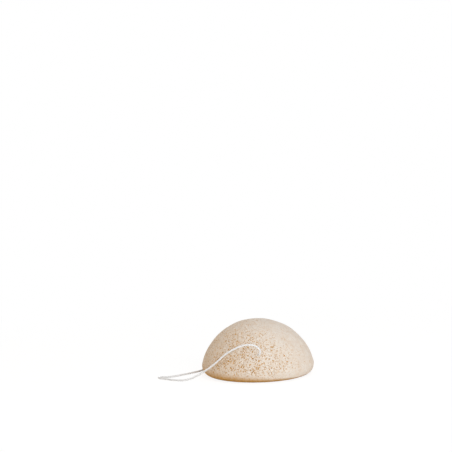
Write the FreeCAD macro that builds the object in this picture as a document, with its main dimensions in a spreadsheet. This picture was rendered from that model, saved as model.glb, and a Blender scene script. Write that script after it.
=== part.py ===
import FreeCAD
import Part
import Sketcher
import math
import os

# Half-ball konjac sponge with its hanging string, in millimetres.
# The flat underside lies on the XY plane with its middle at the origin, +Z points up and the
# string leaves the front of the sponge towards -Y.

# Driving dimensions: name, value and meaning.
SIZES = [
    ("sponge_diameter", 80.0, "widest diameter of the half ball"),
    ("sponge_height", 39.0, "from the flat underside to the crown"),
    ("rim_radius", 6.5, "rounding between the underside and the dome"),
    ("channel_across", 1.0, "string channel: its place to the right of the middle"),
    ("channel_height", 19.6, "string channel: its height above the underside"),
    ("channel_clearance", 0.08, "room between the string and its channel, all round"),
    ("mouth_rounding", 0.5, "rounding of the channel's two mouths"),
    ("string_diameter", 1.3, "twisted cotton string"),
    ("string_stand_out", 0.3, "how far the straight string stands out of the foam"),
]

# The free string, chosen by hand, from the lead-out at the front to the lead-in at the knot.
# None stands for a height that lies on the table.
LOOP_ROUTE = [
    (1.0, -38.5, 19.6),
    (1.8, -40.4, 21.5),
    (1.3, -41.1, 24.1),
    (-1.1, -41.0, 26.2),
    (-4.7, -40.1, 27.1),
    (-9.0, -38.2, 26.5),
    (-13.4, -36.0, 24.8),
    (-18.4, -33.8, 22.0),
    (-23.2, -31.9, 18.7),
    (-28.1, -29.6, 13.9),
    (-33.3, -26.7, 9.4),
    (-38.3, -24.4, 5.9),
    (-42.8, -23.4, 3.2),
    (-47.2, -23.2, 1.3),
    (-51.8, -23.6, None),
    (-56.4, -23.0, None),
    (-60.6, -20.6, None),
    (-64.4, -17.3, None),
    (-67.8, -14.9, None),
    (-70.2, -13.0, None),
    (-69.3, -10.6, None),
    (-65.9, -10.9, None),
    (-61.8, -10.1, None),
    (-57.6, -7.4, None),
    (-52.9, -3.0, None),
    (-47.8, 2.1, None),
    (-43.3, 6.9, None),
    (-40.3, 11.4, None),
    (-37.4, 18.4, 1.6),
    (-33.0, 25.3, 4.6),
    (-27.7, 30.7, 8.9),
    (-22.1, 35.0, 13.7),
    (-17.0, 38.2, 17.8),
]

# A reef knot ties the two ends just behind the sponge. Its points are in string diameters from the
# knot's middle: along the knot (away from the channel), up, and outwards from the sponge.
# The middle itself is given from the back exit, to the right, outwards and up.
KNOT_MIDDLE_SHARES = (-4.7, 2.9, -0.45)
# Half of a bight: in over the other strand's bend, under its leg, and round to the top of the bend.
KNOT_BIGHT_SHARES = [
    (-2.1, 0.58, 0.78),
    (-1.0, 0.6, 0.05),
    (0.0, 1.2, -0.86),
    (1.0, 1.95, -0.05),
    (2.2, 1.65, 0.7),
    (2.65, 0.0, 0.78),
]
# The first strand comes out of the channel and bends into the knot, where both strands then leave alike.
KNOT_LEAD_SHARES = [(-4.7, 0.45, -1.4), (-4.1, 0.5, 0.0)]
KNOT_LEG_SHARES = [(4.3, 0.58, 0.0), (3.2, 0.58, 0.0)]
KNOT_TAIL_SHARES = [(-3.2, -0.58, 0.0), (-4.3, -0.58, 0.0)]
LEG_LEAD_SHARE = (6.5, 0.58, 0.0)
# The two cut ends hang from the knot. They differ a little, as cut ends do.
NEAR_TAIL_SHARES = [
    (-5.4, -0.58, 0.0),
    (-6.4, -1.1, 0.2),
    (-7.0, -2.3, 0.5),
    (-7.1, -3.6, 0.6),
    (-6.9, -4.8, 0.6),
]
FAR_TAIL_SHARES = [(5.4, -0.58, 0.0), (6.3, -1.2, 0.1), (6.7, -2.4, 0.2), (6.6, -3.8, 0.3)]

# Each bend of the string takes this share of the shorter run beside it.
BEND_SHARE = 0.45
# A tube's volume may differ by this share from its section times its length.
VOLUME_SHARE = 0.002

doc = FreeCAD.newDocument("konjac_sponge")
sheet = doc.addObject("Spreadsheet::Sheet", "Sizes")
for row, (alias, value, meaning) in enumerate(SIZES, start=1):
    sheet.set(f"A{row}", meaning)
    sheet.set(f"B{row}", str(value))
    sheet.setAlias(f"B{row}", alias)
doc.recompute()


def size(alias):
    """Value of a driving dimension, from the sheet."""
    return float(sheet.get(alias))


def dome_circle():
    """Radius and centre height of the dome's arc, which meets the crown and the rim's arc smoothly."""
    rim = size("rim_radius")
    reach = size("sponge_diameter") / 2 - rim
    rise = size("sponge_height") - rim
    radius = (reach**2 + rise**2 - rim**2) / (2 * (rise - rim))
    return radius, size("sponge_height") - radius


def exit_reach():
    """Distance from the sponge's middle to where the straight string ends, just clear of the foam."""
    radius, centre = dome_circle()
    low = size("channel_height") - size("string_diameter") / 2 - size("channel_clearance") - centre
    return math.sqrt(radius**2 - size("channel_across") ** 2 - low**2) + size("string_stand_out")


def plane_of(body, role):
    """One of a body's own origin planes."""
    return next(f for f in body.Origin.OriginFeatures if f.Role == role)


def new_sketch(body, name):
    """A sketch on the body's upright XZ plane."""
    sketch = body.newObject("Sketcher::SketchObject", name)
    sketch.AttachmentSupport = (plane_of(body, "XZ_Plane"), [""])
    sketch.MapMode = "FlatFace"
    return sketch


def name_constraint(sketch, constraint, name, formula):
    """Adds a dimension to a sketch under a name and binds it to the sheet."""
    index = sketch.addConstraint(constraint)
    sketch.renameConstraint(index, name)
    sketch.setExpression(f"Constraints.{name}", formula)


def half_ball_profile(body):
    """Right half of the section: flat underside, rim arc, dome arc and the axis."""
    sketch = new_sketch(body, "half_ball_profile")
    rim = size("rim_radius")
    reach = size("sponge_diameter") / 2 - rim
    height = size("sponge_height")
    radius, centre = dome_circle()
    meet = math.atan2(rim - centre, reach)
    quarter = math.pi / 2
    up = FreeCAD.Vector(0, 0, 1)
    rim_circle = Part.Circle(FreeCAD.Vector(reach, rim, 0), up, rim)
    dome = Part.Circle(FreeCAD.Vector(0, centre, 0), up, radius)
    origin = FreeCAD.Vector(0, 0, 0)
    foot = sketch.addGeometry(Part.LineSegment(origin, FreeCAD.Vector(reach, 0, 0)))
    rim_arc = sketch.addGeometry(Part.ArcOfCircle(rim_circle, -quarter, meet))
    dome_arc = sketch.addGeometry(Part.ArcOfCircle(dome, meet, quarter))
    axis = sketch.addGeometry(Part.LineSegment(FreeCAD.Vector(0, height, 0), origin))
    start, end, middle = 1, 2, 3
    root, upright = -1, -2
    sketch.addConstraint(
        [
            Sketcher.Constraint("Coincident", foot, start, root, start),
            Sketcher.Constraint("Horizontal", foot),
            Sketcher.Constraint("Tangent", foot, end, rim_arc, start),
            Sketcher.Constraint("Tangent", rim_arc, end, dome_arc, start),
            Sketcher.Constraint("PointOnObject", dome_arc, middle, upright),
            Sketcher.Constraint("Coincident", dome_arc, end, axis, start),
            Sketcher.Constraint("Coincident", axis, end, root, start),
            Sketcher.Constraint("Vertical", axis),
        ]
    )
    name_constraint(sketch, Sketcher.Constraint("Radius", rim_arc, rim), "rim", "Sizes.rim_radius")
    name_constraint(
        sketch,
        Sketcher.Constraint("DistanceX", root, start, rim_arc, middle, reach),
        "rim_reach",
        "Sizes.sponge_diameter / 2 - Sizes.rim_radius",
    )
    name_constraint(
        sketch,
        Sketcher.Constraint("DistanceY", root, start, axis, start, height),
        "crown",
        "Sizes.sponge_height",
    )
    return sketch


def channel_section(body):
    """Round section of the string channel, seen from the front."""
    sketch = new_sketch(body, "channel_section")
    across = size("channel_across")
    height = size("channel_height")
    radius = size("string_diameter") / 2 + size("channel_clearance")
    place = FreeCAD.Vector(across, height, 0)
    ring = sketch.addGeometry(Part.Circle(place, FreeCAD.Vector(0, 0, 1), radius))
    root, start, middle = -1, 1, 3
    name_constraint(
        sketch,
        Sketcher.Constraint("DistanceX", root, start, ring, middle, across),
        "across",
        "Sizes.channel_across",
    )
    name_constraint(
        sketch,
        Sketcher.Constraint("DistanceY", root, start, ring, middle, height),
        "height",
        "Sizes.channel_height",
    )
    name_constraint(
        sketch,
        Sketcher.Constraint("Radius", ring, radius),
        "bore",
        "Sizes.string_diameter / 2 + Sizes.channel_clearance",
    )
    return sketch


def make_sponge():
    """Moulded half ball: a turned solid, the channel right through it, and rounded channel mouths."""
    body = doc.addObject("PartDesign::Body", "sponge_body")
    profile = half_ball_profile(body)
    turned = body.newObject("PartDesign::Revolution", "half_ball")
    turned.Profile = profile
    turned.ReferenceAxis = (profile, ["V_Axis"])
    turned.Angle = 360
    doc.recompute()
    solid_volume = turned.Shape.Volume
    channel = body.newObject("PartDesign::Pocket", "string_channel")
    channel.Profile = channel_section(body)
    channel.Type = "ThroughAll"
    channel.Midplane = True
    doc.recompute()
    section = math.pi * (size("string_diameter") / 2 + size("channel_clearance")) ** 2
    print("channel length from its volume", round((solid_volume - channel.Shape.Volume) / section, 2))
    walls = [f for f in channel.Shape.Faces if isinstance(f.Surface, Part.Cylinder)]
    rings = [e for wall in walls for e in wall.Edges if not e.isSeam(wall)]
    mouths = [
        f"Edge{number}"
        for number, edge in enumerate(channel.Shape.Edges, start=1)
        if any(edge.isSame(ring) for ring in rings)
    ]
    rounding = body.newObject("PartDesign::Fillet", "channel_mouths")
    rounding.Base = (channel, mouths)
    rounding.setExpression("Radius", "Sizes.mouth_rounding")
    body.Tip = rounding
    return body


def rounded_path(points):
    """Straight runs between the points, joined by the largest tangent arcs that the runs allow.

    Returns the wire and the arcs' radii.
    """
    edges = []
    radii = []
    here = points[0]
    for before, corner, after in zip(points, points[1:], points[2:]):
        inward = (corner - before).normalize()
        outward = (after - corner).normalize()
        turn = inward.getAngle(outward)
        shorter = min((corner - before).Length, (after - corner).Length)
        tangent = BEND_SHARE * shorter
        radius = tangent / math.tan(turn / 2)
        to_centre = (outward - inward).normalize()
        apex = corner + to_centre * (radius / math.cos(turn / 2) - radius)
        arc_start = corner - inward * tangent
        arc_end = corner + outward * tangent
        edges.append(Part.LineSegment(here, arc_start).toShape())
        edges.append(Part.Arc(arc_start, apex, arc_end).toShape())
        radii.append(radius)
        here = arc_end
    edges.append(Part.LineSegment(here, points[-1]).toShape())
    return Part.Wire(edges), radii


def make_string(name, points):
    """A stretch of string: a round section swept along the rounded path through the points."""
    wire, radii = rounded_path(points)
    path = doc.addObject("Part::Feature", f"{name}_path")
    path.Shape = wire
    section = doc.addObject("Part::Circle", f"{name}_section")
    section.setExpression("Radius", "Sizes.string_diameter / 2")
    along = FreeCAD.Rotation(FreeCAD.Vector(0, 0, 1), points[1] - points[0])
    section.Placement = FreeCAD.Placement(points[0], along)
    tube = doc.addObject("Part::Sweep", name)
    tube.Sections = [section]
    tube.Spine = (path, [f"Edge{number}" for number in range(1, len(wire.Edges) + 1)])
    tube.Solid = True
    tube.Frenet = False
    doc.recompute()
    expected = math.pi * (size("string_diameter") / 2) ** 2 * wire.Length
    print(name, "length", round(wire.Length, 1), "radii", [round(r, 1) for r in radii])
    print(name, "volume over section times length", round(tube.Shape.Volume / expected, 5))
    if abs(tube.Shape.Volume / expected - 1) > VOLUME_SHARE:
        raise RuntimeError(f"{name} has the wrong volume")
    return tube


def make_group(name, members):
    """Several separate solids under one name."""
    group = doc.addObject("Part::Compound", name)
    group.Links = members
    return group


def make_threaded_string():
    """The straight stretch of string inside the channel."""
    rod = doc.addObject("Part::Cylinder", "threaded_string")
    reach = exit_reach()
    turned = FreeCAD.Rotation(FreeCAD.Vector(0, 0, 1), FreeCAD.Vector(0, 1, 0))
    start = FreeCAD.Vector(size("channel_across"), -reach, size("channel_height"))
    rod.Placement = FreeCAD.Placement(start, turned)
    rod.Height = 2 * reach
    rod.setExpression("Radius", "Sizes.string_diameter / 2")
    rod.setExpression("Placement.Base.x", "Sizes.channel_across")
    rod.setExpression("Placement.Base.z", "Sizes.channel_height")
    return rod


def knot_places(shares):
    """Points given in string diameters from the knot's middle, as places in the model."""
    unit = size("string_diameter")
    across, outward, up = KNOT_MIDDLE_SHARES
    back_exit = FreeCAD.Vector(size("channel_across"), exit_reach(), size("channel_height"))
    middle = back_exit + FreeCAD.Vector(across, outward, up) * unit
    return [middle + FreeCAD.Vector(-along, out, rise) * unit for along, rise, out in shares]


def whole_bight(half):
    """A bight from its half: the other half mirrors it top to bottom."""
    return half + [(along, -rise, out) for along, rise, out in reversed(half[:-1])]


def half_turned(shares):
    """The same points turned half round about the knot's upright axis."""
    return [(-along, rise, -out) for along, rise, out in shares]


def make_knot():
    """Reef knot: two bights hooked through each other, each strand one unbroken tube."""
    back_exit = FreeCAD.Vector(size("channel_across"), exit_reach(), size("channel_height"))
    bight = whole_bight(KNOT_BIGHT_SHARES)
    near = [back_exit] + knot_places(KNOT_LEAD_SHARES + bight + KNOT_TAIL_SHARES)
    far = knot_places(KNOT_LEG_SHARES + half_turned(bight + KNOT_TAIL_SHARES))
    near_strand = make_string("near_strand", near)
    far_strand = make_string("far_strand", far)
    print("gap between the knot's strands", round(near_strand.Shape.distToShape(far_strand.Shape)[0], 3))
    return make_group("string_knot", [near_strand, far_strand])


def make_tails():
    """The two cut ends, from where their strands leave the knot."""
    end = KNOT_TAIL_SHARES[-1:]
    near = make_string("near_tail", knot_places(end + NEAR_TAIL_SHARES))
    far = make_string("far_tail", knot_places(half_turned(end) + FAR_TAIL_SHARES))
    return make_group("knot_tails", [near, far])


def make_loop():
    """The free stretch of string: over the left face, round its fold on the table, back to the knot."""
    lying = size("string_diameter") / 2
    front_exit = FreeCAD.Vector(size("channel_across"), -exit_reach(), size("channel_height"))
    route = [FreeCAD.Vector(x, y, lying if z is None else z) for x, y, z in LOOP_ROUTE]
    ends = knot_places([LEG_LEAD_SHARE, KNOT_LEG_SHARES[0]])
    return make_string("hanging_loop", [front_exit] + route + ends)


pieces = [make_sponge(), make_threaded_string(), make_loop(), make_knot(), make_tails()]
doc.recompute()

for item in doc.Objects:
    if {"Invalid", "Error"} & set(item.State):
        raise RuntimeError(f"{item.Name} failed: {item.State}")
for piece in pieces:
    if piece.Shape.isNull() or not piece.Shape.isValid():
        raise RuntimeError(f"{piece.Name} has no valid shape")

os.makedirs("parts", exist_ok=True)
for piece in pieces:
    piece.Label = piece.Name
    piece.Shape.exportStep(f"parts/{piece.Label}.step")
    print(piece.Label, "solids", len(piece.Shape.Solids), "volume", round(piece.Shape.Volume, 2))
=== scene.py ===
"""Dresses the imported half-ball konjac sponge: its foam, its string, the knot and a plain studio."""

import math

import bpy
import numpy as np
from mathutils import Matrix
from mathutils import Vector


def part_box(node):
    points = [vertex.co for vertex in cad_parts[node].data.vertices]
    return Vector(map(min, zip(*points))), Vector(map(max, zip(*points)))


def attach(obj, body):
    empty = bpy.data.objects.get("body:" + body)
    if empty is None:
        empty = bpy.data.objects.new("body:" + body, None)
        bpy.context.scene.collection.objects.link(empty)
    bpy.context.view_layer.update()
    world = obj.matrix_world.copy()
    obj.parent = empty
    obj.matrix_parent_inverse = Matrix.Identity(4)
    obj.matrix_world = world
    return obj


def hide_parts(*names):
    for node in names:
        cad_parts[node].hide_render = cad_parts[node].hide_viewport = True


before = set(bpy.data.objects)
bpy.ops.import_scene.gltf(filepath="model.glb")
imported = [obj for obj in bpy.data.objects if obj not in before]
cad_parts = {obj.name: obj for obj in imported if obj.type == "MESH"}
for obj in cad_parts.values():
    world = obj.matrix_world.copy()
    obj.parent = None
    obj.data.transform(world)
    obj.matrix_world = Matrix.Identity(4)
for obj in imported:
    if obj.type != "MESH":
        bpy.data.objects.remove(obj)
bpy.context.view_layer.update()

bl_info = {
    "name": "Konjac sponge",
    "version": (1, 0, 0),
    "blender": (4, 5, 0),
    "location": "3D View > Sidebar > Konjac sponge",
    "description": "Makes the foam half ball, its cotton string and a plain studio",
    "category": "Object",
}

# The CAD frame gives the main sizes, in metres.
FOAM_LOW, FOAM_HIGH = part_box("sponge_body")
THREAD_LOW, THREAD_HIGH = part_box("threaded_string")
THREAD_MIDDLE = (THREAD_LOW + THREAD_HIGH) / 2
FRONT_EXIT = Vector((THREAD_MIDDLE.x, THREAD_LOW.y, THREAD_MIDDLE.z))
BACK_EXIT = Vector((THREAD_MIDDLE.x, THREAD_HIGH.y, THREAD_MIDDLE.z))
STRING_DIAMETER = THREAD_HIGH.z - THREAD_LOW.z
MILLIMETRE = 0.001

# The free string's route, as in the CAD source. None is a height that lies on the table.
LOOP_ROUTE = [
    (0.0010, -0.0385, 0.0196),
    (0.0018, -0.0404, 0.0215),
    (0.0013, -0.0411, 0.0241),
    (-0.0011, -0.0410, 0.0262),
    (-0.0047, -0.0401, 0.0271),
    (-0.0090, -0.0382, 0.0265),
    (-0.0134, -0.0360, 0.0248),
    (-0.0184, -0.0338, 0.0220),
    (-0.0232, -0.0319, 0.0187),
    (-0.0281, -0.0296, 0.0139),
    (-0.0333, -0.0267, 0.0094),
    (-0.0383, -0.0244, 0.0059),
    (-0.0428, -0.0234, 0.0032),
    (-0.0472, -0.0232, 0.0013),
    (-0.0518, -0.0236, None),
    (-0.0564, -0.0230, None),
    (-0.0606, -0.0206, None),
    (-0.0644, -0.0173, None),
    (-0.0678, -0.0149, None),
    (-0.0702, -0.0130, None),
    (-0.0693, -0.0106, None),
    (-0.0659, -0.0109, None),
    (-0.0618, -0.0101, None),
    (-0.0576, -0.0074, None),
    (-0.0529, -0.0030, None),
    (-0.0478, 0.0021, None),
    (-0.0433, 0.0069, None),
    (-0.0403, 0.0114, None),
    (-0.0374, 0.0184, 0.0016),
    (-0.0330, 0.0253, 0.0046),
    (-0.0277, 0.0307, 0.0089),
    (-0.0221, 0.0350, 0.0137),
    (-0.0170, 0.0382, 0.0178),
]

# The knot's middle in string diameters, as in the CAD source: across, outwards and up from the back exit.
KNOT_MIDDLE_SHARES = (-4.7, 2.9, -0.45)

# The reef knot in string diameters, as in the CAD source: along, up and outwards from its middle.
KNOT_BIGHT_SHARES = [
    (-2.1, 0.58, 0.78),
    (-1.0, 0.6, 0.05),
    (0.0, 1.2, -0.86),
    (1.0, 1.95, -0.05),
    (2.2, 1.65, 0.7),
    (2.65, 0.0, 0.78),
]
KNOT_LEAD_SHARES = [(-4.7, 0.45, -1.4), (-4.1, 0.5, 0.0)]
KNOT_LEG_SHARES = [(4.3, 0.58, 0.0), (3.2, 0.58, 0.0)]
KNOT_TAIL_SHARES = [(-3.2, -0.58, 0.0), (-4.3, -0.58, 0.0)]
LEG_LEAD_SHARE = (6.5, 0.58, 0.0)
NEAR_TAIL_SHARES = [
    (-5.4, -0.58, 0.0),
    (-6.4, -1.1, 0.2),
    (-7.0, -2.3, 0.5),
    (-7.1, -3.6, 0.6),
    (-6.9, -4.8, 0.6),
]
FAR_TAIL_SHARES = [(5.4, -0.58, 0.0), (6.3, -1.2, 0.1), (6.7, -2.4, 0.2), (6.6, -3.8, 0.3)]

# No stretch of the string runs along this direction, so it can steady the string's section.
STEADY = np.array([0.37, -0.35, -0.86])

# The string's make: a ply's radius as a share of the string's, points round the section, a fibre's width
# as a share of its length, and how far and over how many diameters the plies spread at a cut end.
PLY_SHARE = 0.82
POINTS_ROUND = 30
FIBRE_SHARE = 0.12
END_SPREAD = 0.3
END_SPREAD_DIAMETERS = 0.5

# Points along the string: per span of the knot's and the loop's splines, and in the straight channel.
KNOT_STEPS = 14
LOOP_STEPS = 18
CHANNEL_POINTS = 240

# Sizes of the foam's irregular forms, in metres: how far and over what length the bubbles are bent, and
# the widths of open patches and of dips in the moulded face.
BEND = 0.15 * MILLIMETRE
BEND_SIZE = 0.9 * MILLIMETRE
PATCH_SIZE = 26 * MILLIMETRE
DIP_SIZE = 9 * MILLIMETRE

# How open the foam's face is, as shares of fully open, and the directions that the shares belong to.
OPEN_PLAIN = 0.6
OPEN_PATCHES = 0.12
OPEN_FRONT = 0.33
CLOSED_RIGHT = 0.28
CLOSED_LEFT = 0.18
OPEN_LEAST = 0.3
OPEN_RIM = 0.3
CLOSED_CROWN = 0.3
OPEN_UNDERSIDE = 0.6
FRONT_SIDE = np.array([-0.2, -0.95, 0.2])
RIGHT_SIDE = np.array([0.85, -0.35, 0.4])
LEFT_SIDE = np.array([-0.9, -0.42, 0.1])

# The floor: points along a side of its grid, its drop below the part, and its lit share of white.
FLOOR_POINTS = 33
FLOOR_DROP = 0.1 * MILLIMETRE
FLOOR_LIT = 0.69

# The soft lamps, in metres: where each stands, how wide it is, and the height and the aim of them all.
KEY_PLACE = (0.42, -0.89, 0.34)
KEY_WIDTH = 1.5
FILL_PLACE = (-0.9, -0.3, 0.4)
FILL_WIDTH = 0.7
TOP_PLACE = (0.15, -0.3, 1.0)
TOP_WIDTH = 0.9
BACK_PLACE = (-0.1, 0.95, 0.25)
BACK_WIDTH = 0.9
LAMP_HEIGHT = 0.6
LAMP_AIM = (0.0, 0.0, 0.02)

# The camera stands where the photograph was taken from, at a 24 degree view.
CAMERA_PLACE = Vector((0.0, -0.75037, 0.14754))
CAMERA_AIM = Vector((-0.019755, 0.0, 0.105263))
CAMERA_ROLL = math.radians(-1.759)
CAMERA_LENS = 84.683
SENSOR_WIDTH = 36.0


def linear(code):
    """Linear red, green and blue of an sRGB hex colour."""
    parts = [int(code[place : place + 2], 16) / 255 for place in (1, 3, 5)]
    return [p / 12.92 if p <= 0.04045 else ((p + 0.055) / 1.055) ** 2.4 for p in parts]


def length_property(name, description, default):
    """A length in metres for a settings panel."""
    return bpy.props.FloatProperty(
        name=name,
        description=description,
        default=default,
        min=0.0,
        precision=5,
        subtype="DISTANCE",
        unit="LENGTH",
    )


def share_property(name, description, default):
    """A share from 0 to 1 for a settings panel."""
    return bpy.props.FloatProperty(
        name=name,
        description=description,
        default=default,
        min=0.0,
        max=1.0,
        subtype="FACTOR",
    )


def colour_property(name, description, code):
    """A colour for a settings panel."""
    return bpy.props.FloatVectorProperty(
        name=name,
        description=description,
        default=linear(code),
        size=3,
        min=0.0,
        max=1.0,
        subtype="COLOR",
    )


def power_property(name, description, default):
    """A lamp's power in watts for a settings panel."""
    return bpy.props.FloatProperty(
        name=name,
        description=description,
        default=default,
        min=0.0,
        unit="POWER",
    )


class FoamSettings(bpy.types.PropertyGroup):
    """Sizes and colours of the foam half ball."""

    diameter: length_property("Diameter", "Widest diameter of the half ball", FOAM_HIGH.x - FOAM_LOW.x)
    height: length_property("Height", "From the flat underside to the crown", FOAM_HIGH.z)
    rim_radius: length_property("Rim radius", "Rounding between underside and dome", 0.0065)
    pore_spacing: length_property("Pore spacing", "Mean distance between bubbles in the foam", 0.0011)
    pore_radius: length_property("Pore radius", "Radius of the largest plain bubbles", 0.0006)
    pore_depth: length_property("Pore depth", "Depth of the deepest pores", 0.0008)
    unevenness: length_property("Unevenness", "Depth of the dips in the moulded face", 0.0004)
    mouth_depth: length_property("Mouth depth", "Depth of the dimple where the string goes in", 0.0003)
    skin: colour_property("Skin", "Pale face of the foam between the pores", "#EEE7DE")
    # The pore colour is partly the foam's own tan and partly painted shade of the hollows; it also paints
    # the shade along the foot.
    pore: colour_property("Pore", "Tan inside of the pores", "#C69238")
    rings: bpy.props.IntProperty(
        name="Rings",
        description="Rings of points from the crown to the underside",
        default=260,
        min=20,
    )
    seed: bpy.props.IntProperty(name="Seed", description="Which random foam is made", default=7)


class StringSettings(bpy.types.PropertyGroup):
    """Sizes and colours of the twisted cotton string."""

    diameter: length_property("Diameter", "Diameter over the plies", STRING_DIAMETER)
    lay: length_property("Lay", "Length in which a ply turns once round the string", 0.0054)
    cotton: colour_property("Cotton", "Bleached cotton on the plies", "#F8FBFF")
    groove: colour_property("Groove", "Shaded fibres between the plies", "#E4E8EE")
    # Painted shade: the greyed colour of the stretch that lies on the table.
    painted_table_shade: colour_property("Painted_shade", "Greyed cotton where the loop lies on the table", "#F3F1EE")


class StageSettings(bpy.types.PropertyGroup):
    """The plain studio round the sponge."""

    floor_radius: length_property("Floor radius", "Radius of the round floor", 6.0)
    floor: colour_property("Floor", "Colour that the floor sends back as light", "#FAF8F5")
    shadow: share_property("Shadow", "How much of the object's shadow the floor shows", 0.2)
    key_power: power_property("Key power", "Power of the soft lamp at the front right", 6.0)
    fill_power: power_property("Fill power", "Power of the soft lamp at the left", 1.2)
    top_power: power_property("Top power", "Power of the soft lamp overhead", 2.2)
    back_power: power_property("Back power", "Power of the soft lamp behind", 2.2)
    key: colour_property("Key", "Colour of the key, top and back lamps", "#FFFFFF")
    fill: colour_property("Fill", "Colour of the soft lamp at the left", "#FFEACB")
    ambient: share_property("Ambient", "Strength of the even light from all round", 0.37)
    air: colour_property("Air", "Colour of the even light from all round", "#FFFAF7")


def add_node(tree, kind, inputs=None, **settings):
    """Adds a node, sets its settings, and sets or links its inputs by name or number."""
    node = tree.nodes.new(kind)
    for name, value in settings.items():
        setattr(node, name, value)
    for name, value in (inputs or {}).items():
        if isinstance(value, bpy.types.NodeSocket):
            tree.links.new(value, node.inputs[name])
        else:
            node.inputs[name].default_value = value
    return node


def opaque(colour):
    """A colour with full alpha, as node sockets take it."""
    return (*colour, 1.0)


def new_material(name):
    """An empty node material and its tree."""
    material = bpy.data.materials.new(name)
    material.use_nodes = True
    material.node_tree.nodes.clear()
    return material, material.node_tree


def per_metre(size):
    """Texture scale at which one cell of a pattern is that many millimetres wide."""
    return 1 / (size * MILLIMETRE)


def open_cells(tree, place):
    """Small open cells about 0.8 mm apart, bent out of line, some of them deep enough to show tan, which is
    partly painted shade of the hollow.
    """
    drift = add_node(
        tree,
        "ShaderNodeTexNoise",
        {"Vector": place, "Scale": per_metre(1.2), "Detail": 1.0},
    ).outputs["Color"]
    bent = add_node(
        tree,
        "ShaderNodeVectorMath",
        {0: drift, 1: (MILLIMETRE, MILLIMETRE, MILLIMETRE), 2: place},
        operation="MULTIPLY_ADD",
    ).outputs["Vector"]
    cells = add_node(
        tree,
        "ShaderNodeTexVoronoi",
        {"Vector": bent, "Scale": per_metre(0.8)},
    ).outputs
    hollow = add_node(
        tree,
        "ShaderNodeMapRange",
        {
            "Value": cells["Distance"],
            "From Min": 0.05,
            "From Max": 0.6,
            "To Min": 1.0,
            "To Max": 0.0,
        },
        interpolation_type="SMOOTHSTEP",
    ).outputs["Result"]
    chance = add_node(tree, "ShaderNodeSeparateColor", {"Color": cells["Color"]}).outputs["Red"]
    open_face = add_node(tree, "ShaderNodeAttribute", attribute_name="open_face").outputs["Fac"]
    some = add_node(
        tree,
        "ShaderNodeMath",
        {0: chance, 1: open_face},
        operation="MULTIPLY",
    ).outputs["Value"]
    return add_node(
        tree,
        "ShaderNodeMath",
        {0: hollow, 1: some},
        operation="MULTIPLY",
    ).outputs["Value"]


def painted_foot_shade(tree, place, foam):
    """Painted tan shade along the lower edge that the foam stands on, where the rounded edge turns under:
    nearly 10 mm high at the left and 2 mm at the right.

    Above it the left side keeps a little painted tan shade, which fades out towards the middle.
    """
    axes = add_node(tree, "ShaderNodeSeparateXYZ", {"Vector": place}).outputs
    half = 0.5 * foam.diameter
    climb = add_node(
        tree,
        "ShaderNodeMapRange",
        {
            "Value": axes["X"],
            "From Min": -half,
            "From Max": 0.7 * half,
            "To Min": 9.6 * MILLIMETRE,
            "To Max": 2.0 * MILLIMETRE,
        },
    ).outputs["Result"]
    left_shade = add_node(
        tree,
        "ShaderNodeMapRange",
        {
            "Value": axes["X"],
            "From Min": -half,
            "From Max": 0.0,
            "To Min": 0.27,
            "To Max": 0.0,
        },
    ).outputs["Result"]
    return add_node(
        tree,
        "ShaderNodeMapRange",
        {
            "Value": axes["Z"],
            "From Min": 0.5 * MILLIMETRE,
            "From Max": climb,
            "To Min": 0.85,
            "To Max": left_shade,
        },
        interpolation_type="SMOOTHSTEP",
    ).outputs["Result"]


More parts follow.
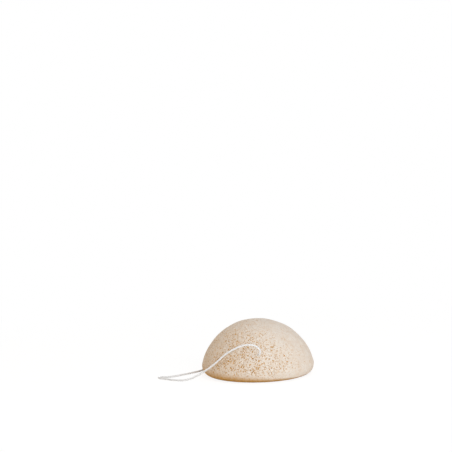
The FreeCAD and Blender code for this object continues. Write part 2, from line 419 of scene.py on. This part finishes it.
def moist_konjac_foam(foam):
    """Moulded konjac fibre foam, moist: a pale matt face, with tan pores that are partly painted shade of
    their hollows, and painted tan shade along the lower edge.
    """
    material, tree = new_material("moist_konjac_foam")
    place = add_node(tree, "ShaderNodeTexCoord").outputs["Object"]
    pore = add_node(tree, "ShaderNodeAttribute", attribute_name="pore").outputs["Fac"]
    # Cloudy patches from 6 mm down to under 1 mm wide, where the fibre set denser.
    cloud = add_node(
        tree,
        "ShaderNodeTexNoise",
        {"Vector": place, "Scale": per_metre(6.0), "Detail": 4.0, "Roughness": 0.85},
    ).outputs["Fac"]
    patchy = add_node(
        tree,
        "ShaderNodeMapRange",
        {"Value": cloud, "From Min": 0.35, "From Max": 0.65, "To Min": 0.0, "To Max": 0.22},
    ).outputs["Result"]
    # Fibre grain, drawn at 0.5 mm, which is as fine as the picture can show.
    grain = add_node(
        tree,
        "ShaderNodeTexNoise",
        {"Vector": place, "Scale": per_metre(0.5), "Detail": 2.0, "Roughness": 0.5},
    ).outputs["Fac"]
    cell = open_cells(tree, place)
    # The random cloudy patches, plus the painted tan shade along the foot and on the left side.
    plain = add_node(
        tree,
        "ShaderNodeMath",
        {0: patchy, 1: painted_foot_shade(tree, place, foam)},
        operation="ADD",
    ).outputs["Value"]
    # The tan in the pores and cells is partly the foam's own tan and partly painted shade of their hollows,
    # darker the deeper they are. Pores turn fully tan before they are at their deepest, and the small cells
    # add a little less.
    pore_tan = 1.6
    cell_tan = 0.95
    hole = add_node(
        tree,
        "ShaderNodeMath",
        {0: pore, 1: pore_tan},
        operation="MULTIPLY",
    ).outputs["Value"]
    holes = add_node(
        tree,
        "ShaderNodeMath",
        {0: cell, 1: cell_tan, 2: hole},
        operation="MULTIPLY_ADD",
    ).outputs["Value"]
    shaded = add_node(
        tree,
        "ShaderNodeMapRange",
        {"Value": holes, "From Min": 0.0, "From Max": 1.0, "To Min": 0.0, "To Max": 1.0},
        interpolation_type="SMOOTHSTEP",
    ).outputs["Result"]
    deep = add_node(
        tree,
        "ShaderNodeMath",
        {0: shaded, 1: plain},
        operation="ADD",
        use_clamp=True,
    ).outputs["Value"]
    colour = add_node(
        tree,
        "ShaderNodeMix",
        {0: deep, 6: opaque(foam.skin), 7: opaque(foam.pore)},
        data_type="RGBA",
    ).outputs[2]
    # The cells are bump, and so is the grain at half their weight.
    grain_weight = 0.5
    relief = add_node(
        tree,
        "ShaderNodeMath",
        {0: grain, 1: grain_weight, 2: cell},
        operation="MULTIPLY_ADD",
    ).outputs["Value"]
    bump = add_node(
        tree,
        "ShaderNodeBump",
        {"Height": relief, "Strength": 0.6, "Distance": 0.3 * MILLIMETRE},
        invert=True,
    ).outputs["Normal"]
    shader = add_node(
        tree,
        "ShaderNodeBsdfPrincipled",
        {
            "Base Color": colour,
            "Roughness": 0.85,
            "IOR": 1.4,
            "Specular IOR Level": 0.25,
            "Normal": bump,
        },
    )
    add_node(tree, "ShaderNodeOutputMaterial", {"Surface": shader.outputs["BSDF"]})
    return material


def twisted_cotton(string):
    """Bleached three-ply cotton: soft white plies with shaded grooves and fibres along each ply."""
    material, tree = new_material("twisted_cotton")
    ply = add_node(tree, "ShaderNodeAttribute", attribute_name="ply").outputs["Fac"]
    fibre = add_node(tree, "ShaderNodeAttribute", attribute_name="fibre").outputs["Vector"]
    # Fibres about 0.12 mm wide, drawn coarser than cotton's own 0.015 mm so that they show.
    strands = add_node(
        tree,
        "ShaderNodeTexNoise",
        {"Vector": fibre, "Scale": per_metre(0.12), "Detail": 2.0, "Roughness": 0.6},
    ).outputs["Fac"]
    ply_colour = add_node(
        tree,
        "ShaderNodeMix",
        {0: ply, 6: opaque(string.groove), 7: opaque(string.cotton)},
        data_type="RGBA",
    ).outputs[2]
    # Painted shade: the string is greyed towards the table, fully at 1.5 mm up and not at all above 9 mm,
    # so the stretch on the table is darker; the rest of the string is left as it is.
    place = add_node(tree, "ShaderNodeTexCoord").outputs["Object"]
    height = add_node(tree, "ShaderNodeSeparateXYZ", {"Vector": place}).outputs["Z"]
    lying = add_node(
        tree,
        "ShaderNodeMapRange",
        {
            "Value": height,
            "From Min": 1.5 * MILLIMETRE,
            "From Max": 9.0 * MILLIMETRE,
            "To Min": 1.0,
            "To Max": 0.0,
        },
    ).outputs["Result"]
    colour = add_node(
        tree,
        "ShaderNodeMix",
        {0: lying, 6: ply_colour, 7: opaque(string.painted_table_shade)},
        data_type="RGBA",
        blend_type="MULTIPLY",
    ).outputs[2]
    bump = add_node(
        tree,
        "ShaderNodeBump",
        {"Height": strands, "Strength": 0.4, "Distance": 0.04 * MILLIMETRE},
    ).outputs["Normal"]
    shader = add_node(
        tree,
        "ShaderNodeBsdfPrincipled",
        {
            "Base Color": colour,
            "Roughness": 0.9,
            "Specular IOR Level": 0.2,
            "Sheen Weight": 0.6,
            "Sheen Roughness": 0.5,
            "Subsurface Weight": 0.5,
            "Subsurface Radius": (1.0, 1.0, 1.0),
            "Subsurface Scale": 0.6 * MILLIMETRE,
            "Normal": bump,
        },
    )
    add_node(tree, "ShaderNodeOutputMaterial", {"Surface": shader.outputs["BSDF"]})
    return material


def seen_directly(tree):
    """1 for rays from the camera, in reflections and through clear things, and 0 for light."""
    path = add_node(tree, "ShaderNodeLightPath").outputs
    mirrored = add_node(
        tree,
        "ShaderNodeMath",
        {0: path["Is Glossy Ray"], 1: path["Is Transmission Ray"]},
        operation="MAXIMUM",
    ).outputs["Value"]
    return add_node(
        tree,
        "ShaderNodeMath",
        {0: path["Is Camera Ray"], 1: mirrored},
        operation="MAXIMUM",
    ).outputs["Value"]


def white_floor(stage):
    """Matt white table: it shows white with the object's soft shadow, and sends back a quieter light."""
    material, tree = new_material("matt_white_table")
    place = add_node(tree, "ShaderNodeTexCoord").outputs["Object"]
    away = add_node(tree, "ShaderNodeVectorMath", {0: place}, operation="LENGTH").outputs["Value"]
    # The shadow's share fades out between 0.1 and 0.4 m from the object, so the far floor is even.
    share = add_node(
        tree,
        "ShaderNodeMapRange",
        {"Value": away, "From Min": 0.1, "From Max": 0.4, "To Min": stage.shadow, "To Max": 0.0},
        interpolation_type="SMOOTHSTEP",
    ).outputs["Result"]
    # Light brings the bare floor to its lit share of white, and the glow makes up the rest.
    rest = add_node(
        tree,
        "ShaderNodeMath",
        {0: share, 1: -FLOOR_LIT, 2: 1.0},
        operation="MULTIPLY_ADD",
    ).outputs["Value"]
    glow = add_node(tree, "ShaderNodeEmission", {"Color": (1, 1, 1, 1), "Strength": rest})
    lit = add_node(tree, "ShaderNodeBsdfDiffuse", {"Color": share})
    quiet = add_node(tree, "ShaderNodeBsdfDiffuse", {"Color": opaque(stage.floor)})
    shown = add_node(
        tree,
        "ShaderNodeAddShader",
        {0: glow.outputs["Emission"], 1: lit.outputs["BSDF"]},
    )
    mixed = add_node(
        tree,
        "ShaderNodeMixShader",
        {0: seen_directly(tree), 1: quiet.outputs["BSDF"], 2: shown.outputs["Shader"]},
    )
    add_node(tree, "ShaderNodeOutputMaterial", {"Surface": mixed.outputs["Shader"]})
    return material


def white_world(stage):
    """Even light from all round, behind which the camera sees plain white."""
    world = bpy.data.worlds.new("studio")
    world.use_nodes = True
    tree = world.node_tree
    tree.nodes.clear()
    soft = add_node(
        tree,
        "ShaderNodeBackground",
        {"Color": opaque(stage.air), "Strength": stage.ambient},
    )
    white = add_node(tree, "ShaderNodeBackground", {"Color": (1, 1, 1, 1), "Strength": 1.0})
    mixed = add_node(
        tree,
        "ShaderNodeMixShader",
        {0: seen_directly(tree), 1: soft.outputs["Background"], 2: white.outputs["Background"]},
    )
    add_node(tree, "ShaderNodeOutputWorld", {"Surface": mixed.outputs["Shader"]})
    return world


def make_piece(name, points, faces, material, attributes=None):
    """A smooth mesh at the origin, from points in metres and arrays of face corners."""
    corners = np.concatenate([group.ravel() for group in faces])
    sides = np.concatenate([np.full(len(group), group.shape[1]) for group in faces])
    starts = np.cumsum(sides) - sides
    mesh = bpy.data.meshes.new(name)
    mesh.vertices.add(len(points))
    mesh.vertices.foreach_set("co", points.astype(np.float32).ravel())
    mesh.loops.add(len(corners))
    mesh.loops.foreach_set("vertex_index", corners.astype(np.int32))
    mesh.polygons.add(len(sides))
    mesh.polygons.foreach_set("loop_start", starts.astype(np.int32))
    mesh.update(calc_edges=True)
    mesh.shade_smooth()
    for label, values in (attributes or {}).items():
        kind, field = ("FLOAT", "value") if values.ndim == 1 else ("FLOAT_VECTOR", "vector")
        layer = mesh.attributes.new(label, kind, "POINT")
        layer.data.foreach_set(field, values.astype(np.float32).ravel())
    mesh.materials.append(material)
    piece = bpy.data.objects.new(name, mesh)
    bpy.context.scene.collection.objects.link(piece)
    return piece


def square_on_disc(count):
    """A square grid bent onto the unit disc: each square ring becomes the circle of its own half side.

    On the ring of half side r the angle is 45 degrees times the place along a side, from -1 to 1.
    """
    side = np.linspace(-1.0, 1.0, count)
    across, up = np.meshgrid(side, side)
    wide = np.abs(across) >= np.abs(up)
    radius = np.where(wide, across, up)
    along = np.where(wide, up, across) / np.where(radius == 0, 1.0, radius)
    angle = np.where(wide, along, 2 - along) * math.pi / 4
    return (radius * np.cos(angle)).ravel(), (radius * np.sin(angle)).ravel()


def grid_quads(count):
    """Corners of a square grid's faces, anticlockwise from above."""
    number = np.arange(count * count).reshape(count, count)
    corners = [number[:-1, :-1], number[:-1, 1:], number[1:, 1:], number[1:, :-1]]
    return np.stack(corners, -1).reshape(-1, 4)


def grid_border(count):
    """Numbers of a square grid's outer points, anticlockwise from its first corner."""
    number = np.arange(count * count).reshape(count, count)
    return np.concatenate([number[0, :-1], number[:-1, -1], number[-1, :0:-1], number[:0:-1, 0]])


def half_ball_outline(share, foam):
    """Radius, height and tilt of the half ball's outline at a share of its length from the crown.

    A point is the arc's centre plus the arc's radius times (sine of tilt, cosine of tilt). The dome's arc
    goes from the crown to where it meets the rim's arc, which goes on until it points straight down.
    """
    rim = foam.rim_radius
    reach = foam.diameter / 2 - rim
    rise = foam.height - rim
    dome = (reach**2 + rise**2 - rim**2) / (2 * (rise - rim))
    meet = math.atan2(reach, rim - foam.height + dome)
    long = dome * meet
    run = share * (long + rim * (math.pi - meet))
    upper = run < long
    tilt = np.where(upper, run / dome, meet + (run - long) / rim)
    radius = np.where(upper, dome * np.sin(tilt), reach + rim * np.sin(tilt))
    height = np.where(upper, foam.height - dome + dome * np.cos(tilt), rim + rim * np.cos(tilt))
    return radius, height, tilt


def smooth_step(values, low, high):
    """0 below low, 1 above high, and 3t^2 - 2t^3 between."""
    part = np.clip((values - low) / (high - low), 0, 1)
    return part * part * (3 - 2 * part)


def soft_noise(points, size, seed, values):
    """Random values at the corners of cubes of that size, blended smoothly inside each cube."""
    chance = np.random.default_rng(seed)
    place = (points - points.min(axis=0)) / size
    cell = np.floor(place).astype(int)
    part = smooth_step(place - cell, 0, 1)
    lattice = chance.uniform(-1, 1, (*(cell.max(axis=0) + 2), values))
    total = np.zeros((len(points), values))
    for corner in np.ndindex(2, 2, 2):
        weight = np.prod(np.where(corner, part, 1 - part), axis=1)
        at = cell + corner
        total += weight[:, None] * lattice[at[:, 0], at[:, 1], at[:, 2]]
    return total


def pore_pits(points, normals, spacing, smallest, largest, filled, seed):
    """Depth of the pits where random bubbles break the surface.

    A share of the cubes of a lattice holds one bubble each, at a random place. Where the surface cuts a
    bubble, the opening's radius is the root of (bubble radius squared minus height squared), and the pit is
    a bowl, (1 - (distance / opening)^2)^1.5, as deep as the bubble reaches below. The deepest pit counts.
    """
    chance = np.random.default_rng(seed)
    low = points.min(axis=0) - 2 * spacing
    cell = np.floor((points - low) / spacing).astype(int)
    lattice = chance.random((*(cell.max(axis=0) + 3), 5))
    depth = np.zeros(len(points))
    for step in np.ndindex(3, 3, 3):
        at = cell + step - 1
        bubble = lattice[at[:, 0], at[:, 1], at[:, 2]]
        away = points - low - (at + bubble[:, :3]) * spacing
        radius = smallest + (largest - smallest) * bubble[:, 3] ** 2
        above = np.einsum("ij,ij->i", away, normals)
        aside = np.einsum("ij,ij->i", away, away) - above**2
        opening = radius**2 - above**2
        bowl = np.clip(1 - aside / np.maximum(opening, 1e-12), 0, 1) ** 1.5
        there = (opening > 0) & (bubble[:, 4] < filled)
        depth = np.maximum(depth, np.where(there, (radius + above) * bowl, 0))
    return depth


def half_ball_mesh(foam):
    """Points, outward normals and faces of the smooth, closed half ball.

    Dome and rim are one square grid bent onto a disc and laid over the outline. The underside is a second
    grid with half as many points on its border, and a strip of triangles joins the two.
    """
    fine = 2 * foam.rings + 1
    coarse = foam.rings + 1
    across, up = square_on_disc(fine)
    share = np.hypot(across, up)
    turn = np.arctan2(up, across)
    radius, height, tilt = half_ball_outline(share, foam)
    dome = np.stack([radius * np.cos(turn), radius * np.sin(turn), height], -1)
    outward = np.stack([np.sin(tilt) * np.cos(turn), np.sin(tilt) * np.sin(turn), np.cos(tilt)], -1)
    foot_reach = (foam.diameter / 2 - foam.rim_radius) * coarse / (coarse + 2)
    foot_across, foot_up = square_on_disc(coarse)
    foot = np.stack([foot_across * foot_reach, foot_up * foot_reach, np.zeros(coarse * coarse)], -1)
    points = np.concatenate([dome, foot])
    normals = np.concatenate([outward, np.tile([0.0, 0.0, -1.0], (len(foot), 1))])
    ring = grid_border(fine)
    inner = grid_border(coarse) + len(dome)
    nxt = np.roll(inner, -1)
    even, odd, after = ring[0::2], ring[1::2], np.roll(ring, -1)[1::2]
    strip = np.concatenate(
        [
            np.stack([even, inner, odd], -1),
            np.stack([odd, inner, nxt], -1),
            np.stack([odd, nxt, after], -1),
        ]
    )
    faces = [grid_quads(fine), grid_quads(coarse)[:, ::-1] + len(dome), strip]
    return points, normals, faces


def off_thread(points):
    """Distance of each point from the axis of the string's channel."""
    return np.hypot(points[:, 0] - THREAD_MIDDLE.x, points[:, 2] - THREAD_MIDDLE.z)


def open_face_share(points, normals, foam):
    """How open the foam's face is at each point, from 0 to 1.

    It is a plain share with random patches, more at the front and less at the right and the left. The
    mould leaves a closer face at the rim and the crown, and round the string's mouths it is closed.
    """
    rising = points[:, 2] / foam.height
    patch = soft_noise(points, PATCH_SIZE, foam.seed + 5, 1)[:, 0]
    front = smooth_step(normals @ FRONT_SIDE, 0.4, 1.0)
    right = smooth_step(normals @ RIGHT_SIDE, 0.35, 0.95)
    left = smooth_step(normals @ LEFT_SIDE, 0.65, 0.97)
    share = OPEN_PLAIN + OPEN_PATCHES * patch + OPEN_FRONT * front
    share = share - CLOSED_RIGHT * right - CLOSED_LEFT * left
    share = np.clip(share, OPEN_LEAST, 1)
    share = share * (OPEN_RIM + (1 - OPEN_RIM) * smooth_step(rising, 0.045, 0.27))
    share = share * (1 - CLOSED_CROWN * smooth_step(rising, 0.7, 0.95))
    share = np.where(normals[:, 2] < -0.99, OPEN_UNDERSIDE, share)
    return share * smooth_step(off_thread(points), 0.5 * STRING_DIAMETER, 1.8 * STRING_DIAMETER)


def foam_surface(foam):
    """Points, faces and attributes of the half ball with its pores.

    Every point of the smooth half ball sinks along its normal by the pits, the dips of the moulded face and
    the dimples at the string's two mouths.
    """
    points, normals, faces = half_ball_mesh(foam)
    bent = points + BEND * soft_noise(points, BEND_SIZE, foam.seed, 3)
    wide = foam.pore_radius
    apart = foam.pore_spacing
    # Two sets of plain bubbles overlap, so that some pores run together.
    first = pore_pits(bent, normals, apart, 0.5 * wide, wide, 1.0, foam.seed + 1)
    second = pore_pits(bent, normals, apart, 0.5 * wide, wide, 1.0, foam.seed + 2)
    # Large bubbles are rare: three times as far apart, and only in half of the cubes.
    rare = pore_pits(bent, normals, 3 * apart, wide, 1.5 * wide, 0.5, foam.seed + 3)
    open_face = open_face_share(points, normals, foam)
    pits = np.maximum(np.maximum(first, second), rare) * open_face
    pits = foam.pore_depth * np.tanh(pits / foam.pore_depth)
    dips = foam.unevenness * (0.5 + 0.5 * soft_noise(points, DIP_SIZE, foam.seed + 4, 1)[:, 0])
    dips = dips * smooth_step(points[:, 2] / foam.height, 0.0, 0.15)
    mouth = foam.mouth_depth * np.exp(-((off_thread(points) / STRING_DIAMETER) ** 2))
    sunk = points - normals * (pits + dips + mouth)[:, None]
    return sunk, faces, {"pore": pits / foam.pore_depth, "open_face": open_face}


def spline_points(control, steps):
    """Points along the NURBS spline of order 3 that has these control points."""
    curve = bpy.data.curves.new("route", "CURVE")
    curve.dimensions = "3D"
    spline = curve.splines.new("NURBS")
    spline.points.add(len(control) - 1)
    spline.points.foreach_set("co", np.column_stack([control, np.ones(len(control))]).ravel())
    spline.order_u = 3
    spline.use_endpoint_u = True
    spline.resolution_u = steps
    carrier = bpy.data.objects.new("route", curve)
    line = bpy.data.meshes.new_from_object(carrier)
    flat = np.empty(3 * len(line.vertices), np.float32)
    line.vertices.foreach_get("co", flat)
    bpy.data.objects.remove(carrier)
    bpy.data.curves.remove(curve)
    bpy.data.meshes.remove(line)
    return flat.reshape(-1, 3).astype(float)


def run_along(path):
    """Length of the path up to each of its points."""
    return np.concatenate([[0.0], np.cumsum(np.linalg.norm(np.diff(path, axis=0), axis=1))])


def twisted_string(path, string, cut_end=False):
    """Points, faces and attributes of a three-ply string along a path.

    place = path + (cos(angle + turn) * side + sin(angle + turn) * over) * reach(angle), where turn grows by
    a whole turn in each lay. Reach is the far side of the nearest of three round plies: c * cos(d) plus the
    root of (a^2 - c^2 * sin(d)^2), with a the ply's radius, c its distance from the middle and d the angle
    from its middle. At a cut end the plies spread.
    """
    around = POINTS_ROUND
    run = run_along(path)
    ahead = np.gradient(path, run, axis=0)
    ahead /= np.linalg.norm(ahead, axis=1)[:, None]
    side = np.cross(ahead, STEADY)
    side /= np.linalg.norm(side, axis=1)[:, None]
    over = np.cross(ahead, side)
    angle = np.arange(around) * 2 * math.pi / around
    off_ply = (angle + math.pi / 3) % (2 * math.pi / 3) - math.pi / 3
    ply = PLY_SHARE * string.diameter / 2
    out = string.diameter / 2 - ply
    reach = out * np.cos(off_ply) + np.sqrt(ply**2 - (out * np.sin(off_ply)) ** 2)
    turn = angle[None, :] + (2 * math.pi * run / string.lay)[:, None]
    left = (run[-1] - run) / string.diameter
    spread = 1 + (END_SPREAD * np.exp(-left / END_SPREAD_DIAMETERS) if cut_end else 0 * left)
    wide = reach[None, :] * spread[:, None]
    rings = (
        path[:, None, :]
        + (np.cos(turn) * wide)[:, :, None] * side[:, None, :]
        + (np.sin(turn) * wide)[:, :, None] * over[:, None, :]
    )
    points = np.concatenate([rings.reshape(-1, 3), path[:1], path[-1:]])
    number = np.arange(len(path) * around).reshape(-1, around)
    nxt = np.roll(number, -1, axis=1)
    quads = np.stack([number[:-1], nxt[:-1], nxt[1:], number[1:]], -1).reshape(-1, 4)
    first, last = len(points) - 2, len(points) - 1
    caps = np.concatenate(
        [
            np.stack([np.full(around, first), nxt[0], number[0]], -1),
            np.stack([np.full(around, last), number[-1], nxt[-1]], -1),
        ]
    )
    crest = np.tile((reach - reach.min()) / (reach.max() - reach.min()), len(path))
    straight = np.stack(
        [
            np.tile(np.cos(angle) * reach, (len(path), 1)),
            np.tile(np.sin(angle) * reach, (len(path), 1)),
            np.tile(run[:, None] * FIBRE_SHARE, (1, around)),
        ],
        -1,
    ).reshape(-1, 3)
    ends = np.array([[0.0, 0.0, 0.0], [0.0, 0.0, run[-1] * FIBRE_SHARE]])
    attributes = {
        "ply": np.concatenate([crest, [0.5, 0.5]]),
        "fibre": np.concatenate([straight, ends]),
    }
    return points, [quads, caps], attributes


def joined(parts):
    """Several point sets with their faces and attributes as one."""
    counts = [len(points) for points, _, _ in parts]
    starts = np.cumsum([0] + counts[:-1])
    faces = [group + start for (_, groups, _), start in zip(parts, starts) for group in groups]
    attributes = {
        label: np.concatenate([fields[label] for _, _, fields in parts]) for label in parts[0][2]
    }
    return np.concatenate([points for points, _, _ in parts]), faces, attributes


def knot_places(shares):
    """Points given in string diameters from the knot's middle, as places in metres."""
    across, outward, up = KNOT_MIDDLE_SHARES
    middle = BACK_EXIT + STRING_DIAMETER * Vector((across, outward, up))
    return [middle + STRING_DIAMETER * Vector((-along, out, rise)) for along, rise, out in shares]


def half_turned(shares):
    """The same points turned half round about the knot's upright axis."""
    return [(-along, rise, -out) for along, rise, out in shares]


def cotton_material():
    """The string's material, made once."""
    return bpy.data.materials.get("twisted_cotton") or twisted_cotton(bpy.context.scene.konjac_string)


def ride_string(piece, *nodes):
    """A string piece moves with the string and stands for its CAD nodes, which it hides."""
    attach(piece, "string")
    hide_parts(*nodes)


def add_lamp(name, place, width, power, colour):
    """A broad soft lamp at a place, turned to the sponge."""
    lamp = bpy.data.lights.new(name, "AREA")
    lamp.color = colour
    lamp.shape = "RECTANGLE"
    lamp.size = width
    lamp.size_y = LAMP_HEIGHT
    lamp.energy = power
    holder = bpy.data.objects.new(name, lamp)
    bpy.context.scene.collection.objects.link(holder)
    holder.location = place
    holder.rotation_euler = (Vector(place) - Vector(LAMP_AIM)).to_track_quat("Z", "Y").to_euler()


class KONJAC_OT_stage(bpy.types.Operator):
    """Set the floor, the lamps, the world and the camera"""

    bl_idname = "konjac.stage"
    bl_label = "Set the stage"

    def execute(self, context):
        stage = context.scene.konjac_stage
        context.scene.view_settings.view_transform = "Standard"
        across, up = square_on_disc(FLOOR_POINTS)
        ground = np.stack([across, up, np.zeros(len(across))], -1) * stage.floor_radius
        ground[:, 2] = -FLOOR_DROP
        floor = make_piece("floor", ground, [grid_quads(FLOOR_POINTS)], white_floor(stage))
        context.scene.world = white_world(stage)
        add_lamp("key", KEY_PLACE, KEY_WIDTH, stage.key_power, stage.key)
        add_lamp("fill", FILL_PLACE, FILL_WIDTH, stage.fill_power, stage.fill)
        add_lamp("top", TOP_PLACE, TOP_WIDTH, stage.top_power, stage.key)
        add_lamp("back", BACK_PLACE, BACK_WIDTH, stage.back_power, stage.key)
        lens = bpy.data.cameras.new("camera")
        lens.sensor_width = SENSOR_WIDTH
        lens.lens = CAMERA_LENS
        camera = bpy.data.objects.new("camera", lens)
        context.scene.collection.objects.link(camera)
        look = (CAMERA_PLACE - CAMERA_AIM).to_track_quat("Z", "Y").to_matrix().to_4x4()
        roll = Matrix.Rotation(CAMERA_ROLL, 4, "Z")
        camera.matrix_world = Matrix.Translation(CAMERA_PLACE) @ look @ roll
        context.scene.camera = camera
        return {"FINISHED"}


class KONJAC_OT_knot(bpy.types.Operator):
    """Tie the reef knot behind the sponge, with its two cut ends"""

    bl_idname = "konjac.knot"
    bl_label = "Tie the knot"

    def execute(self, context):
        string = context.scene.konjac_string
        mirrored = [(along, -rise, out) for along, rise, out in reversed(KNOT_BIGHT_SHARES[:-1])]
        bight = KNOT_BIGHT_SHARES + mirrored
        near_shares = KNOT_LEAD_SHARES + bight + KNOT_TAIL_SHARES + NEAR_TAIL_SHARES
        far_shares = KNOT_LEG_SHARES + half_turned(bight + KNOT_TAIL_SHARES) + FAR_TAIL_SHARES
        routes = ([BACK_EXIT] + knot_places(near_shares), knot_places(far_shares))
        paths = [spline_points(route, KNOT_STEPS) for route in routes]
        strands = [twisted_string(path, string, cut_end=True) for path in paths]
        points, faces, attributes = joined(strands)
        knot = make_piece("reef_knot", points, faces, cotton_material(), attributes)
        ride_string(knot, "string_knot", "knot_tails")
        return {"FINISHED"}


class KONJAC_OT_string(bpy.types.Operator):
    """Lead the string through the sponge and lay its loop over the left face and the table"""

    bl_idname = "konjac.string"
    bl_label = "Lay the string"

    def execute(self, context):
        string = context.scene.konjac_string
        lying = string.diameter / 2
        route = [Vector((x, y, lying if z is None else z)) for x, y, z in LOOP_ROUTE]
        ends = knot_places([LEG_LEAD_SHARE, KNOT_LEG_SHARES[0]])
        path = spline_points([FRONT_EXIT] + route + ends, LOOP_STEPS)
        points, faces, attributes = twisted_string(path, string)
        loop = make_piece("string_loop", points, faces, cotton_material(), attributes)
        ride_string(loop, "hanging_loop")
        straight = np.linspace(BACK_EXIT, FRONT_EXIT, CHANNEL_POINTS)
        points, faces, attributes = twisted_string(straight, string)
        inside = make_piece("string_inside", points, faces, cotton_material(), attributes)
        ride_string(inside, "threaded_string")
        return {"FINISHED"}


class KONJAC_OT_foam(bpy.types.Operator):
    """Mould the foam half ball with its pores"""

    bl_idname = "konjac.foam"
    bl_label = "Mould the foam"

    def execute(self, context):
        foam = context.scene.konjac_foam
        points, faces, attributes = foam_surface(foam)
        ball = make_piece("foam_half_ball", points, faces, moist_konjac_foam(foam), attributes)
        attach(ball, "sponge")
        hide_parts("sponge_body")
        return {"FINISHED"}


class KONJAC_PT_panel(bpy.types.Panel):
    """Settings and steps of the konjac sponge"""

    bl_idname = "KONJAC_PT_panel"
    bl_label = "Konjac sponge"
    bl_space_type = "VIEW_3D"
    bl_region_type = "UI"
    bl_category = "Konjac sponge"

    def draw(self, context):
        for settings, step in (
            (context.scene.konjac_stage, KONJAC_OT_stage),
            (context.scene.konjac_string, KONJAC_OT_knot),
            (context.scene.konjac_string, KONJAC_OT_string),
            (context.scene.konjac_foam, KONJAC_OT_foam),
        ):
            box = self.layout.box()
            for name in settings.__annotations__:
                box.prop(settings, name)
            box.operator(step.bl_idname)


CLASSES = (
    FoamSettings,
    StringSettings,
    StageSettings,
    KONJAC_OT_stage,
    KONJAC_OT_knot,
    KONJAC_OT_string,
    KONJAC_OT_foam,
    KONJAC_PT_panel,
)


def register():
    """Adds the classes and the scene's settings."""
    for item in CLASSES:
        bpy.utils.register_class(item)
    bpy.types.Scene.konjac_foam = bpy.props.PointerProperty(type=FoamSettings)
    bpy.types.Scene.konjac_string = bpy.props.PointerProperty(type=StringSettings)
    bpy.types.Scene.konjac_stage = bpy.props.PointerProperty(type=StageSettings)


def unregister():
    """Takes the settings and the classes away."""
    del bpy.types.Scene.konjac_stage
    del bpy.types.Scene.konjac_string
    del bpy.types.Scene.konjac_foam
    for item in reversed(CLASSES):
        bpy.utils.unregister_class(item)


def main():
    """Makes the whole scene."""
    register()
    bpy.ops.konjac.stage()
    bpy.ops.konjac.knot()
    bpy.ops.konjac.string()
    bpy.ops.konjac.foam()


if __name__ == "__main__":
    main()
